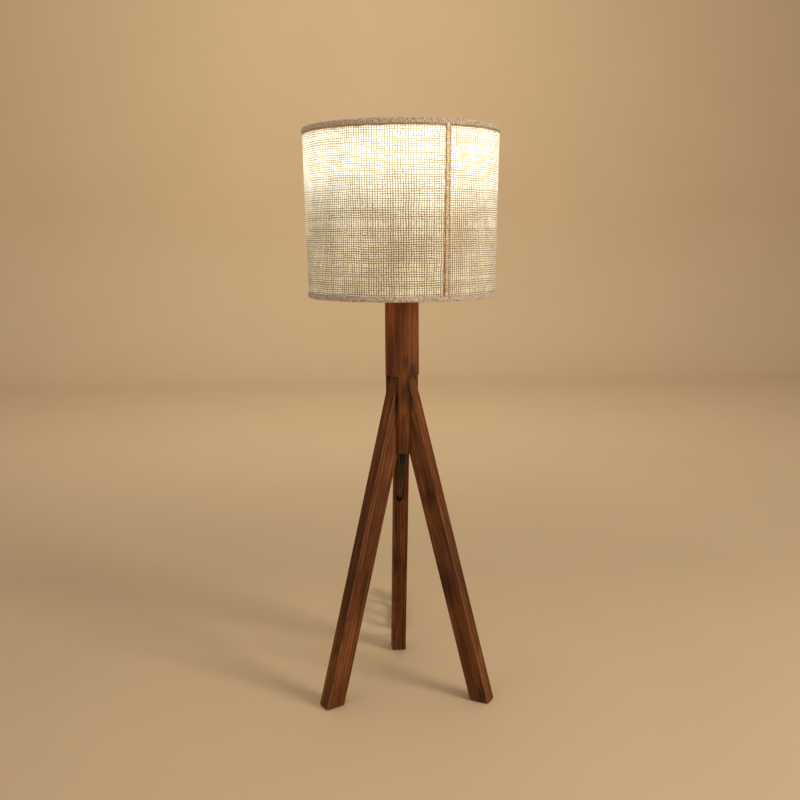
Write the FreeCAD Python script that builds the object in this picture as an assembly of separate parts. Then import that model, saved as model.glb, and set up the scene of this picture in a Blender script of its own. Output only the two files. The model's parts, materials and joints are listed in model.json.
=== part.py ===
"""Tripod floor lamp: a round post on three splayed legs, with a drum shade.

Units are millimetres and +Z is up. The origin is on the floor, on the post's axis. The front of
the lamp, between two of the legs, faces -Y, and the third leg stands at the back, towards +Y.
"""

import FreeCAD, Part
import math
import os

V = FreeCAD.Vector
UP = V(0, 0, 1)
os.makedirs("parts", exist_ok=True)

# ---------------------------------------------------------------- driving dimensions
# Stand
POST_R = 27.0
POST_BOTTOM = 406.0
POST_TOP = 700.0
SHOULDER = 532.0          # the round post is full above this and flatted below it
FLAT_R = 19.4             # distance of the three flats from the axis
SEAT_R = 14.5             # distance of the housing floors, where the legs seat
LEG_ANGLES = (210.0, 330.0, 90.0)     # front left, front right and back
LEG_W = 25.0              # tangential width of a leg
LEG_DEPTH = 32.4          # horizontal depth of a leg
SPLAY = 0.267             # outward travel per unit of height
FOOT_R = 158.3            # outer face of a leg at the floor
PAD_H = 2.0
PAD_INSET = 2.0
EDGE = 0.9                # small bevel on the long edges of the wood
# Shade
SHADE_BOTTOM = 658.0
SHADE_TOP = 914.0
SHADE_R_BOTTOM = 147.3
SHADE_R_TOP = 152.4
CLOTH_T = 1.0
LINER_T = 0.5
WIRE_R = 1.5
HEM_H = 8.5
HEM_T = 0.6
SEAM_W = 9.0
SEAM_ANGLE = 292.0
# Lampholder and bulb
TUBE_R = 5.0              # M10 threaded tube
HOLDER_R = 20.0           # outer thread of the skirt
SHOULDER_R = 24.0         # flange that carries the shade
FITTER_Z = POST_TOP + 30.0
BULB_R = 30.0
BULB_SEAT = POST_TOP + 38.0   # underside of the bulb's tip contact
# Cord
CORD_R = 2.5
GLAND_END = POST_BOTTOM - 23.0
FIT = 0.05                # radial clearance of parts that only touch
RUN = 0.3                 # play of pieces that move past each other


# ---------------------------------------------------------------- helpers
def save(name, shape):
    """Write one node, as a single solid or a compound of separate solids."""
    for solid in shape.Solids:
        assert solid.isValid() and solid.Volume > 0, name
    shape.exportStep("parts/" + name + ".step")


def cyl(r, z0, z1, x=0.0, y=0.0):
    return Part.makeCylinder(r, z1 - z0, V(x, y, z0))


def tube(r_out, r_in, z0, z1):
    return cyl(r_out, z0, z1).cut(cyl(r_in, z0 - 1, z1 + 1))


def spin(shape, angle):
    """A copy turned about the post's axis."""
    turned = shape.copy()
    turned.rotate(V(0, 0, 0), UP, angle)
    return turned


def revolve(points, angle=360.0):
    """Turn a closed outline of (radius, height) points about the post's axis."""
    corners = [V(r, 0, z) for r, z in points]
    face = Part.Face(Part.makePolygon(corners + corners[:1]))
    return face.revolve(V(0, 0, 0), UP, angle)


def box(x0, x1, y0, y1, z0, z1):
    return Part.makeBox(x1 - x0, y1 - y0, z1 - z0, V(x0, y0, z0))


def prism(points, width):
    """Extrude a closed (x, z) outline by width, centred on y = 0."""
    corners = [V(x, -width / 2, z) for x, z in points]
    return Part.Face(Part.makePolygon(corners + corners[:1])).extrude(V(0, width, 0))


def pipe(points, radii, r):
    """A tube along straight runs joined by tangent arcs. radii has one value for each inner point."""
    edges = []
    start = points[0]
    for before, corner, after, radius in zip(points, points[1:], points[2:], radii):
        a = (before - corner).normalize()
        b = (after - corner).normalize()
        half = (math.pi - a.getAngle(b)) / 2
        reach = radius * math.tan(half)
        middle = (a + b).normalize()
        p = corner + a * reach
        q = corner + b * reach
        m = corner + middle * (radius / math.cos(half) - radius)
        edges.append(Part.LineSegment(start, p).toShape())
        edges.append(Part.Arc(p, m, q).toShape())
        start = q
    edges.append(Part.LineSegment(start, points[-1]).toShape())
    wire = Part.Wire(edges)
    first = points[1] - points[0]
    section = Part.Wire(Part.Circle(points[0], first, r).toShape())
    solid = wire.makePipeShell([section], True, False)
    share = solid.Volume / (math.pi * r * r * wire.Length)
    print("  tube length %.0f mm, volume share %.4f" % (wire.Length, share))
    return solid


def arc_radii(points):
    """0.45 of the shorter run over the tangent of half the turn, at each inner point."""
    found = []
    for before, corner, after in zip(points, points[1:], points[2:]):
        a = (before - corner)
        b = (after - corner)
        turn = math.pi - a.getAngle(b)
        found.append(0.45 * min(a.Length, b.Length) / math.tan(turn / 2))
    return found


# ---------------------------------------------------------------- stand
def leg_outer(z):
    """Radius of a leg's outer face at a height."""
    return FOOT_R - SPLAY * z


def leg_inner(z):
    return leg_outer(z) - LEG_DEPTH


LEG_TOP = SHOULDER - 0.8
HEEL = (FOOT_R - LEG_DEPTH - SEAT_R) / SPLAY


def bevelled(shape, long_edges, size):
    """The shape with a small bevel on the edges that long_edges picks."""
    picked = [e for e in shape.Edges if long_edges(e)]
    return shape.makeChamfer(size, picked)


def leg():
    outline = [
        (leg_outer(PAD_H), PAD_H),
        (leg_outer(LEG_TOP), LEG_TOP),
        (SEAT_R, LEG_TOP),
        (SEAT_R, HEEL),
        (leg_inner(PAD_H), PAD_H),
    ]
    bar = prism(outline, LEG_W)

    def long_and_free(e):
        a, b = (v.Point for v in e.Vertexes)
        along = abs(a.z - b.z) > 200
        return along and min(abs(a.y), abs(b.y)) > LEG_W / 2 - 0.1

    bar = bevelled(bar, long_and_free, EDGE)
    for z in DOWEL_Z:
        bar = bar.cut(dowel(z, FIT))
    return bar


# The cord goes through a slanting hole in the back leg
HOLE_R = 4.6
HOLE_SIDE = 3.0           # how far the hole is left of the leg's middle
HOLE_Z = 314.0            # height where it enters the leg's inner face
HOLE_FALL = 35.0          # degrees below the horizontal


def hole_point(along):
    """A point on the hole's axis, along it from the leg's inner face, in the back leg's place."""
    fall = math.radians(HOLE_FALL)
    return V(-HOLE_SIDE, leg_inner(HOLE_Z) + along * math.cos(fall), HOLE_Z - along * math.sin(fall))


HOLE_OUT = LEG_DEPTH / (math.cos(math.radians(HOLE_FALL)) - SPLAY * math.sin(math.radians(HOLE_FALL)))


def leg_back():
    """The leg turned to its place at the back, with the hole for the cord."""
    drill = Part.makeCylinder(HOLE_R, 90.0, hole_point(-20.0), hole_point(1.0) - hole_point(0.0))
    return spin(leg(), LEG_ANGLES[2]).cut(drill)


DOWEL_R = 3.0
DOWEL_IN = 7.5            # inner end, from the post's axis
DOWEL_LONG = 14.0
DOWEL_Z = (442.0, 484.0)


def dowel(z, extra=0.0):
    return Part.makeCylinder(DOWEL_R + extra, DOWEL_LONG, V(DOWEL_IN, 0, z), V(1, 0, 0))


CORE_R = TUBE_R + 0.5     # passage for the cord along the post
SOCKET_LONG = 45.0        # how deep the threaded tube sits in the post


def post():
    body = cyl(POST_R, POST_BOTTOM, POST_TOP)
    rims = [e for e in body.Edges if isinstance(e.Curve, Part.Circle)]
    body = body.makeChamfer(EDGE, rims)
    body = body.cut(cyl(CORE_R, POST_BOTTOM - 1, POST_TOP + 1))
    half = LEG_W / 2 + FIT
    for angle in LEG_ANGLES:
        flat = box(FLAT_R, POST_R + 5, -POST_R, POST_R, POST_BOTTOM - 1, SHOULDER)
        housing = box(SEAT_R - FIT, POST_R + 5, -half, half, POST_BOTTOM - 1, SHOULDER)
        body = body.cut(spin(flat.fuse(housing), angle))
        for z in DOWEL_Z:
            body = body.cut(spin(dowel(z, FIT), angle))
    return body.cut(cyl(GLAND_THREAD_R + FIT, POST_BOTTOM - 1, POST_BOTTOM + GLAND_IN + 1))


def foot_pads():
    pads = []
    x0 = leg_inner(PAD_H) + PAD_INSET
    x1 = leg_outer(PAD_H) - PAD_INSET
    half = LEG_W / 2 - PAD_INSET
    for angle in LEG_ANGLES:
        pads.append(spin(box(x0, x1, -half, half, 0, PAD_H), angle))
    return Part.makeCompound(pads)


def hexagon(across, z0, z1, bore):
    r = across / math.sqrt(3)
    corners = [V(r * math.cos(math.radians(a)), r * math.sin(math.radians(a)), z0)
               for a in range(0, 361, 60)]
    return Part.Face(Part.makePolygon(corners)).extrude(V(0, 0, z1 - z0)).cut(cyl(bore, z0 - 1, z1 + 1))


# ---------------------------------------------------------------- gland under the post
GLAND_THREAD_R = 5.2
GLAND_IN = 14.0
GLAND_BORE = CORD_R + FIT
GLAND_COLLAR_R = 6.6
GLAND_HEAD_R = 5.4


def cord_gland():
    """Threaded insert, collar, neck and clamping head in one moulding."""
    collar = POST_BOTTOM - 4.0
    head = collar - 2.5
    outline = [
        (GLAND_BORE, POST_BOTTOM + GLAND_IN),
        (GLAND_THREAD_R, POST_BOTTOM + GLAND_IN),
        (GLAND_THREAD_R, POST_BOTTOM - FIT),
        (GLAND_COLLAR_R, POST_BOTTOM - FIT),
        (GLAND_COLLAR_R, collar + 0.6),
        (GLAND_COLLAR_R - 0.6, collar),
        (GLAND_HEAD_R - 1.2, collar),
        (GLAND_HEAD_R - 1.2, head),
        (GLAND_HEAD_R - 0.5, head),
        (GLAND_HEAD_R, head - 0.5),
        (GLAND_HEAD_R, GLAND_END + 0.8),
        (GLAND_HEAD_R - 0.8, GLAND_END),
        (GLAND_BORE, GLAND_END),
    ]
    body = revolve(outline)
    for k in range(12):
        notch = cyl(0.55, GLAND_END - 1, head - 3.0, GLAND_HEAD_R + 0.25)
        body = body.cut(spin(notch, 30.0 * k))
    return body


# ---------------------------------------------------------------- lampholder
SKIRT_BOTTOM = FITTER_Z - 2.2
SKIRT_TOP = POST_TOP + 62.0
SHELL_R = 14.0            # inside of the screw shell is just over the bulb's cap
CAP_R = 13.1              # bulb's screw cap


def holder_cap():
    """Lower cup of the lampholder, screwed on the threaded tube."""
    z = POST_TOP + 6.0
    outline = [
        (TUBE_R + FIT, z),
        (12.0, z),
        (17.0, z + 6.0),
        (17.0, SKIRT_BOTTOM - FIT),
        (15.2, SKIRT_BOTTOM - FIT),
        (15.2, z + 7.0),
        (11.4, z + 2.4),
        (TUBE_R + FIT, z + 2.4),
    ]
    return revolve(outline)


def holder_skirt():
    """Outer shell with a shoulder that carries the shade, and a coarse outer thread."""
    outline = [
        (15.4, SKIRT_BOTTOM),
        (SHOULDER_R, SKIRT_BOTTOM),
        (SHOULDER_R, FITTER_Z),
        (HOLDER_R, FITTER_Z),
        (HOLDER_R, SKIRT_TOP - 1.0),
        (HOLDER_R - 1.0, SKIRT_TOP),
        (HOLDER_R - 2.6, SKIRT_TOP),
        (HOLDER_R - 2.6, SKIRT_BOTTOM + 3.0),
        (15.4, SKIRT_BOTTOM + 3.0),
    ]
    body = revolve(outline)
    for k in range(5):
        z = FITTER_Z + 12.0 + 3.0 * k
        body = body.cut(tube(HOLDER_R + 1, HOLDER_R - 0.7, z, z + 1.2))
    return body


def holder_core():
    """Insulating block with the cord's terminals and a well for the bulb."""
    floor = BULB_SEAT - 6.0
    body = cyl(15.0, POST_TOP + 16.0, SKIRT_BOTTOM + 3.2)
    body = body.fuse(cyl(17.0, SKIRT_BOTTOM + 3.2, SKIRT_TOP - 6.0))
    body = body.cut(cyl(SHELL_R + 0.8 + FIT, floor + 4.0, SKIRT_TOP))
    body = body.cut(cyl(9.0, floor, floor + 5.0))
    for x in (-7.0, 7.0):
        body = body.cut(cyl(1.6, POST_TOP + 15.0, POST_TOP + 24.0, x))
    return body.cut(cyl(CORD_R + FIT, POST_TOP + 15.0, POST_TOP + 20.0))


def holder_screw_shell():
    base = BULB_SEAT - 2.0 + FIT
    top = SKIRT_TOP - 6.5
    return tube(SHELL_R + 0.8, SHELL_R - 0.3, base, top)


def holder_centre_contact():
    floor = BULB_SEAT - 6.0
    foot = box(-8.0, 3.0, -3.0, 3.0, floor, floor + 0.8)
    rise = box(2.2, 3.0, -3.0, 3.0, floor, BULB_SEAT - 1.2)
    tongue = box(-3.5, 3.0, -3.0, 3.0, BULB_SEAT - 1.2, BULB_SEAT - 0.4)
    return foot.fuse(rise).fuse(tongue)


def shade_ring():
    """Threaded ring that clamps the shade's fitter on the holder's shoulder."""
    z = FITTER_Z + 2.0 + 2 * RUN
    body = tube(27.0, HOLDER_R + FIT, z, z + 8.0)
    body = body.makeChamfer(1.0, [e for e in body.Edges
                                  if isinstance(e.Curve, Part.Circle) and e.Curve.Radius > 26.9])
    grips = 24
    notch = cyl(1.1, z - 1, z + 9, 27.6)
    for k in range(grips):
        body = body.cut(spin(notch, 360.0 * k / grips))
    return body


# ---------------------------------------------------------------- bulb
CAP_TOP = BULB_SEAT + 26.0
BULB_TOP = BULB_SEAT + 112.0


def bulb_cap():
    """Thin screw cap with four rolled thread turns."""
    base = BULB_SEAT + 3.0
    outline = [(CAP_R - 1.4, base), (CAP_R - 0.6, base)]
    turns = 5
    pitch = 3.6
    for k in range(turns):
        z = base + 1.0 + pitch * k
        outline += [(CAP_R - 0.8, z), (CAP_R, z + 0.4 * pitch), (CAP_R - 0.8, z + 0.8 * pitch)]
    outline += [(CAP_R - 0.4, base + 20.0), (CAP_R - 0.4, CAP_TOP), (CAP_R - 1.4, CAP_TOP)]
    return revolve(outline)


def bulb_insulator():
    base = BULB_SEAT + 0.6
    return revolve([(4.8, base), (7.0, base), (CAP_R - 1.5, base + 3.2), (4.8, base + 3.2)])


def bulb_tip():
    return cyl(4.7, BULB_SEAT, BULB_SEAT + 3.0)


def bulb_housing():
    """Plastic body between the cap and the diffuser."""
    z = CAP_TOP + FIT
    inner = CAP_R - 1.5
    outline = [
        (inner - 1.2, z - 8.0),
        (inner, z - 8.0),
        (inner, z),
        (14.5, z),
        (18.0, z + 8.0),
        (24.5, z + 20.0),
        (28.6, z + 32.0),
        (27.0, z + 32.0),
        (23.0, z + 20.0),
        (16.4, z + 8.0),
        (inner - 1.2, z + 2.0),
    ]
    return revolve(outline)


LED_Z = CAP_TOP + 30.0


def bulb_led_board():
    board = cyl(25.6, LED_Z - 1.2, LED_Z)
    chips = []
    for k in range(10):
        chips.append(spin(box(15.0, 18.0, -1.5, 1.5, LED_Z, LED_Z + 0.8), 36.0 * k))
    for k in range(5):
        chips.append(spin(box(6.0, 9.0, -1.5, 1.5, LED_Z, LED_Z + 0.8), 72.0 * k))
    for chip in chips:
        board = board.fuse(chip)
    return board


def dome(r, z0, z1):
    """A rounded cap: a short upright wall, then a half ellipsoid, worked out by an arc outline."""
    wall = 8.0
    rise = z1 - z0 - wall
    ball = Part.makeSphere(r, V(0, 0, 0), UP, 0, 90, 360)
    stretch = FreeCAD.Matrix()
    stretch.scale(V(1, 1, rise / r))
    ball = ball.transformGeometry(stretch)
    ball.translate(V(0, 0, z0 + wall))
    return ball.fuse(cyl(r, z0, z0 + wall)).removeSplitter()


def bulb_diffuser():
    z = CAP_TOP + 32.0 + 2 * FIT
    return dome(BULB_R, z, BULB_TOP).cut(dome(BULB_R - 1.6, z - 0.01, BULB_TOP - 1.6))


# ---------------------------------------------------------------- shade
def shade_r(z):
    """Outer radius of the cloth at a height."""
    share = (z - SHADE_BOTTOM) / (SHADE_TOP - SHADE_BOTTOM)
    return SHADE_R_BOTTOM + (SHADE_R_TOP - SHADE_R_BOTTOM) * share


def shell(depth, thick, z0, z1):
    """A slightly conical shell whose outer face is depth inside the cloth's outer face."""
    a = shade_r(z0) - depth
    b = shade_r(z1) - depth
    return revolve([(a, z0), (b, z1), (b - thick, z1), (a - thick, z0)])


LINER_DEPTH = CLOTH_T + FIT
RING_DEPTH = LINER_DEPTH + LINER_T + FIT + WIRE_R


def wire_ring(z):
    return Part.makeTorus(shade_r(z) - RING_DEPTH, WIRE_R, V(0, 0, z))


def hem(edge, inwards):
    """Cloth tape folded over an edge of the shade: edge is its height, inwards is +1 or -1."""
    inner = RING_DEPTH + WIRE_R + FIT
    end = edge + inwards * HEM_H
    fold = edge - inwards * HEM_T
    return revolve([
        (shade_r(end) + HEM_T, end),
        (shade_r(edge) + HEM_T, fold),
        (shade_r(edge) - inner - HEM_T, fold),
        (shade_r(end) - inner - HEM_T, end),
        (shade_r(end) - inner, end),
        (shade_r(edge) - inner, edge - inwards * FIT),
        (shade_r(edge) + FIT, edge - inwards * FIT),
        (shade_r(end) + FIT, end),
    ])


def shade_seam():
    z0 = SHADE_BOTTOM + HEM_H + 0.5
    z1 = SHADE_TOP - HEM_H - 0.5
    sweep = math.degrees(SEAM_W / SHADE_R_TOP)
    a = shade_r(z0) + FIT
    b = shade_r(z1) + FIT
    strip = revolve([(a, z0), (b, z1), (b + 0.5, z1), (a + 0.5, z0)], sweep)
    return spin(strip, SEAM_ANGLE - sweep / 2)


ARM_R = 1.75
ARM_ANGLES = (30.0, 150.0, 270.0)
FITTER_R = 27.0


def rod(a, b, r):
    return Part.makeCylinder(r, (b - a).Length, a, b - a)


def fitter_arm(r):
    """One wire of the spider, from the flat ring down to its weld on the bottom ring."""
    bottom = SHADE_BOTTOM + WIRE_R + 1.2
    inner = V(FITTER_R - 1.0, 0, FITTER_Z + 0.4)
    elbow = V(FITTER_R + 14.0, 0, FITTER_Z - 3.0)
    outer = V(shade_r(bottom) - RING_DEPTH - WIRE_R + 0.6, 0, bottom)
    arm = rod(inner, elbow, r).fuse(rod(elbow, outer, r)).fuse(Part.makeSphere(r, elbow))
    return arm.cut(cyl(SHOULDER_R + 0.4, FITTER_Z - 5, FITTER_Z + 10))


def shade_fitter():
    """Spider: a flat ring on the holder, with three welded arms out to the bottom ring."""
    body = tube(FITTER_R, HOLDER_R + RUN, FITTER_Z + RUN, FITTER_Z + 2.0 + RUN)
    for angle in ARM_ANGLES:
        body = body.fuse(spin(fitter_arm(ARM_R), angle))
    return body


def shade_hem_bottom():
    """The lower hem, slit where the spider's arms pass through it."""
    body = hem(SHADE_BOTTOM, 1)
    for angle in ARM_ANGLES:
        body = body.cut(spin(fitter_arm(ARM_R + 2 * FIT), angle))
    return body


# ---------------------------------------------------------------- cord
# From the gland the cord hangs to the slanting hole in the back leg, comes out on the leg's outer
# face, and runs down it through the in-line switch to the floor behind the foot.
LEAN = math.degrees(math.atan(SPLAY))


def behind(z, off):
    """A point beside the back leg's outer face, off from it, at the height z."""
    return V(0, leg_outer(z) + off * math.sqrt(1 + SPLAY * SPLAY), z)


SWITCH_L = 58.0
SWITCH_W = 22.0
SWITCH_H = 15.0
SWITCH_Z = 168.0          # height of its middle on the leg
SWITCH_OFF = SWITCH_H / 2 + 0.4


def along_switch(share):
    """A point on the switch's long axis: -1 is its upper end and +1 its lower end."""
    slope = V(0, SPLAY, -1).normalize()
    return behind(SWITCH_Z, SWITCH_OFF) + slope * (share * SWITCH_L / 2)


LEAD = [
    V(0, 0, GLAND_END),
    V(-0.6, 0.6, GLAND_END - 17),
    V(-2.6, 9, GLAND_END - 36),
    hole_point(-14.0),
    hole_point(HOLE_OUT + 14.0),
    behind(254.0, 9.0) + V(-1.6, 0, 0),
    along_switch(-1.0) + V(0, -SPLAY, 1) * 16.0,
    along_switch(-1.0),
]
TAIL = [
    along_switch(1.0),
    along_switch(1.0) + V(0, SPLAY, -1) * 16.0,
    V(1.5, 136, 92),
    V(2.0, 146, 58),
    V(2.2, 157, 30),
    V(2.6, 172, 11),
    V(3.4, 190, 3.6),
    V(5.2, 209, 3.0),
]


# The hank stands on edge behind the foot, its turns side by side, in line with the leg.
HANK_AT = V(5.2, 209, 0)      # where the tail meets it
HANK_LINE = V(0.0665, 1, 0).normalize()
HANK_LONG = 124.0
HANK_HIGH = 46.0
HANK_TURNS = 4            # outer turns, side by side
HANK_W = HANK_TURNS * 2 * CORD_R + 0.8
HANK_FLOOR = 0.2
PLUG_GAP = 21.0


def in_line(shape, start):
    """Carry a shape from the X axis to the hank's line: its x runs along the line from start."""
    placed = shape.copy()
    placed.rotate(V(0, 0, 0), UP, math.degrees(math.atan2(HANK_LINE.y, HANK_LINE.x)))
    placed.translate(start)
    return placed


def stadium(length, height, width, z0):
    """An upright slab with round ends, its length along +X from x = 0."""
    r = height / 2
    body = box(r, length - r, -width / 2, width / 2, z0, z0 + height)
    for x in (r, length - r):
        end = Part.makeCylinder(r, width, V(x, -width / 2, z0 + r), V(0, 1, 0))
        body = body.fuse(end)
    return body.removeSplitter()


def cord_hank():
    return in_line(stadium(HANK_LONG, HANK_HIGH, HANK_W, HANK_FLOOR), HANK_AT)


TIE_W = 7.0
TIE_T = 1.0


def hank_tie():
    middle = HANK_LONG / 2
    half = HANK_W / 2
    outer = box(middle - TIE_W / 2, middle + TIE_W / 2, -half - TIE_T - FIT, half + TIE_T + FIT,
                0.0, HANK_FLOOR + HANK_HIGH + TIE_T + FIT)
    inner = box(middle - TIE_W, middle + TIE_W, -half - FIT, half + FIT,
                HANK_FLOOR - 0.1, HANK_FLOOR + HANK_HIGH + FIT)
    return in_line(outer.cut(inner), HANK_AT)


# ---------------------------------------------------------------- in-line switch
ROCKER_L = 17.0
ROCKER_W = 10.0
PIN_R = 1.0
ROCKER_TILT = 8.0


def on_leg(shape):
    """Carry the switch from its own frame, long axis along -Z and face towards +Y, to the leg."""
    placed = shape.copy()
    placed.rotate(V(0, 0, 0), V(1, 0, 0), LEAN)
    placed.translate(behind(SWITCH_Z, SWITCH_OFF))
    return placed


def switch_body(y0, y1):
    """One half of the casing, between two depths, with rounded ends."""
    end = 7.0
    half = SWITCH_W / 2
    body = box(-half, half, y0, y1, -SWITCH_L / 2, SWITCH_L / 2)
    corners = [e for e in body.Edges
               if abs(e.Vertexes[0].Y - e.Vertexes[-1].Y) > 1.0]
    body = body.makeFillet(end, corners)
    return body.cut(Part.makeCylinder(CORD_R + FIT, SWITCH_L + 2, V(0, 0, -SWITCH_L / 2 - 1), UP))


def switch_base():
    return on_leg(switch_body(-SWITCH_H / 2, 0.0).cut(switch_well()))


def switch_well():
    """The hollow of both halves: a pocket for the contacts and a window for the rocker."""
    pocket = box(-SWITCH_W / 2 + 2.2, SWITCH_W / 2 - 2.2, -SWITCH_H / 2 + 2.2, 4.2, -16.0, 16.0)
    window = box(-ROCKER_W / 2 - RUN, ROCKER_W / 2 + RUN, 0, SWITCH_H,
                 -ROCKER_L / 2 - 2 * RUN, ROCKER_L / 2 + 2 * RUN)
    pin = Part.makeCylinder(PIN_R + FIT, ROCKER_W + 5.0, V(-ROCKER_W / 2 - 2.5, PIVOT_Y, 0), V(1, 0, 0))
    return pocket.fuse(window).fuse(pin)


PIVOT_Y = 5.2


def switch_cover():
    return on_leg(switch_body(FIT, SWITCH_H / 2).cut(switch_well()))


def switch_rocker():
    """The rocker lies with its upper half pressed at rest. Its outline is cut from an arc."""
    half = ROCKER_L / 2
    body = Part.makeCylinder(half, ROCKER_W, V(-ROCKER_W / 2, PIVOT_Y, 0), V(1, 0, 0))
    keep = box(-ROCKER_W / 2, ROCKER_W / 2, PIVOT_Y - 2.0, PIVOT_Y + 3.6, -half, half)
    body = body.common(keep)
    valley = Part.makeCylinder(60.0, ROCKER_W + 2, V(-ROCKER_W / 2 - 1, PIVOT_Y + 62.6, 0), V(1, 0, 0))
    body = body.cut(valley)
    body = body.cut(Part.makeCylinder(PIN_R + FIT, ROCKER_W + 2, V(-ROCKER_W / 2 - 1, PIVOT_Y, 0),
                                      V(1, 0, 0)))
    body.rotate(V(0, PIVOT_Y, 0), V(1, 0, 0), ROCKER_TILT)
    return on_leg(body)


def switch_pin():
    pin = Part.makeCylinder(PIN_R, ROCKER_W + 4.8, V(-ROCKER_W / 2 - 2.4, PIVOT_Y, 0), V(1, 0, 0))
    return on_leg(pin)


# ---------------------------------------------------------------- plug
PLUG_L = 36.0
PLUG_W = 13.6             # thin way
PLUG_H = 34.0             # wide way, upright here
PIN_GAP = 19.0
PLUG_PIN_R = 2.0
PLUG_PIN_L = 19.0
SHANK_R = 1.5             # part of a pin that is moulded into the plug
PLUG_START = HANK_LONG + PLUG_GAP


def plug_body():
    """Flat two-pin plug standing on its narrow side, cord end towards the hank."""
    half = PLUG_W / 2
    body = box(0, PLUG_L, -half, half, 0, PLUG_H)
    upright = [e for e in body.Edges if abs(e.Vertexes[0].Y - e.Vertexes[-1].Y) > 1.0
               and e.CenterOfMass.x < 1.0]
    body = body.makeFillet(12.0, upright)
    rim = [e for e in body.Edges if abs(abs(e.CenterOfMass.y) - half) < 1e-6]
    body = body.makeChamfer(1.2, rim)
    collar = Part.makeCone(3.6, 5.0, 20.0, V(-19.5, 0, PLUG_H / 2), V(1, 0, 0))
    body = body.fuse(collar)
    body = body.cut(Part.makeCylinder(CORD_R + FIT, 24.0, V(-20.0, 0, PLUG_H / 2), V(1, 0, 0)))
    for side in (-1, 1):
        z = PLUG_H / 2 + side * PIN_GAP / 2
        body = body.cut(Part.makeCylinder(SHANK_R, 9.0, V(PLUG_L - 8.0, 0, z), V(1, 0, 0)))
    return in_line(body, HANK_AT + HANK_LINE * PLUG_START)


def plug_pins():
    pins = []
    for side in (-1, 1):
        z = PLUG_H / 2 + side * PIN_GAP / 2
        pin = Part.makeCylinder(PLUG_PIN_R, PLUG_PIN_L, V(PLUG_L, 0, z), V(1, 0, 0))
        tip = [e for e in pin.Edges if e.CenterOfMass.x > PLUG_L + PLUG_PIN_L - 0.1
               and isinstance(e.Curve, Part.Circle)]
        shank = Part.makeCylinder(SHANK_R, 8.5, V(PLUG_L - 8.0, 0, z), V(1, 0, 0))
        whole = pin.makeChamfer(0.8, tip).fuse(shank)
        pins.append(in_line(whole, HANK_AT + HANK_LINE * PLUG_START))
    return Part.makeCompound(pins)


# ---------------------------------------------------------------- build
def build():
    save("post", post())
    save("leg_front_left", spin(leg(), LEG_ANGLES[0]))
    save("leg_front_right", spin(leg(), LEG_ANGLES[1]))
    save("leg_back", leg_back())
    pins = [spin(dowel(z), angle) for angle in LEG_ANGLES for z in DOWEL_Z]
    save("leg_dowels", Part.makeCompound(pins))
    save("foot_pads", foot_pads())

    save("cord_gland", cord_gland())
    save("threaded_tube", tube(TUBE_R, TUBE_R - 1.2, POST_TOP - SOCKET_LONG, POST_TOP + 12.0))
    save("tube_washer", tube(13.0, TUBE_R + FIT, POST_TOP + FIT, POST_TOP + 1.5))
    save("tube_nut", hexagon(14.0, POST_TOP + 1.5 + FIT, POST_TOP + 5.5, TUBE_R + FIT))

    save("holder_cap", holder_cap())
    save("holder_skirt", holder_skirt())
    save("holder_core", holder_core())
    save("holder_screw_shell", holder_screw_shell())
    save("holder_centre_contact", holder_centre_contact())
    save("shade_ring", shade_ring())

    save("bulb_cap", bulb_cap())
    save("bulb_insulator", bulb_insulator())
    save("bulb_tip_contact", bulb_tip())
    save("bulb_housing", bulb_housing())
    save("bulb_led_board", bulb_led_board())
    save("bulb_diffuser", bulb_diffuser())

    save("shade_cloth", shell(0.0, CLOTH_T, SHADE_BOTTOM, SHADE_TOP))
    save("shade_liner", shell(LINER_DEPTH, LINER_T, SHADE_BOTTOM, SHADE_TOP))
    save("shade_bottom_ring", wire_ring(SHADE_BOTTOM + WIRE_R + FIT))
    save("shade_top_ring", wire_ring(SHADE_TOP - WIRE_R - FIT))
    save("shade_fitter", shade_fitter())
    save("shade_hem_bottom", shade_hem_bottom())
    save("shade_hem_top", hem(SHADE_TOP, -1))
    save("shade_seam", shade_seam())

    save("switch_base", switch_base())
    save("switch_cover", switch_cover())
    save("switch_rocker", switch_rocker())
    save("switch_pin", switch_pin())
    save("plug_body", plug_body())
    save("plug_pins", plug_pins())

    inner = cyl(CORD_R, GLAND_END + RUN, POST_TOP + 19.5)
    save("cord_inside", inner)
    for name, route in (("cord_lead", LEAD), ("cord_tail", TAIL)):
        radii = arc_radii(route)
        print(name, "radii", ["%.0f" % r for r in radii])
        save(name, pipe(route, radii, CORD_R))
    save("cord_hank", cord_hank())
    save("hank_tie", hank_tie())


build()
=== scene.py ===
"""Looks of the tripod floor lamp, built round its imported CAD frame. Metres, +Z up, floor at z = 0."""

import json
import math
import random

import bmesh
import bpy
from mathutils import Matrix, Vector

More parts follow.
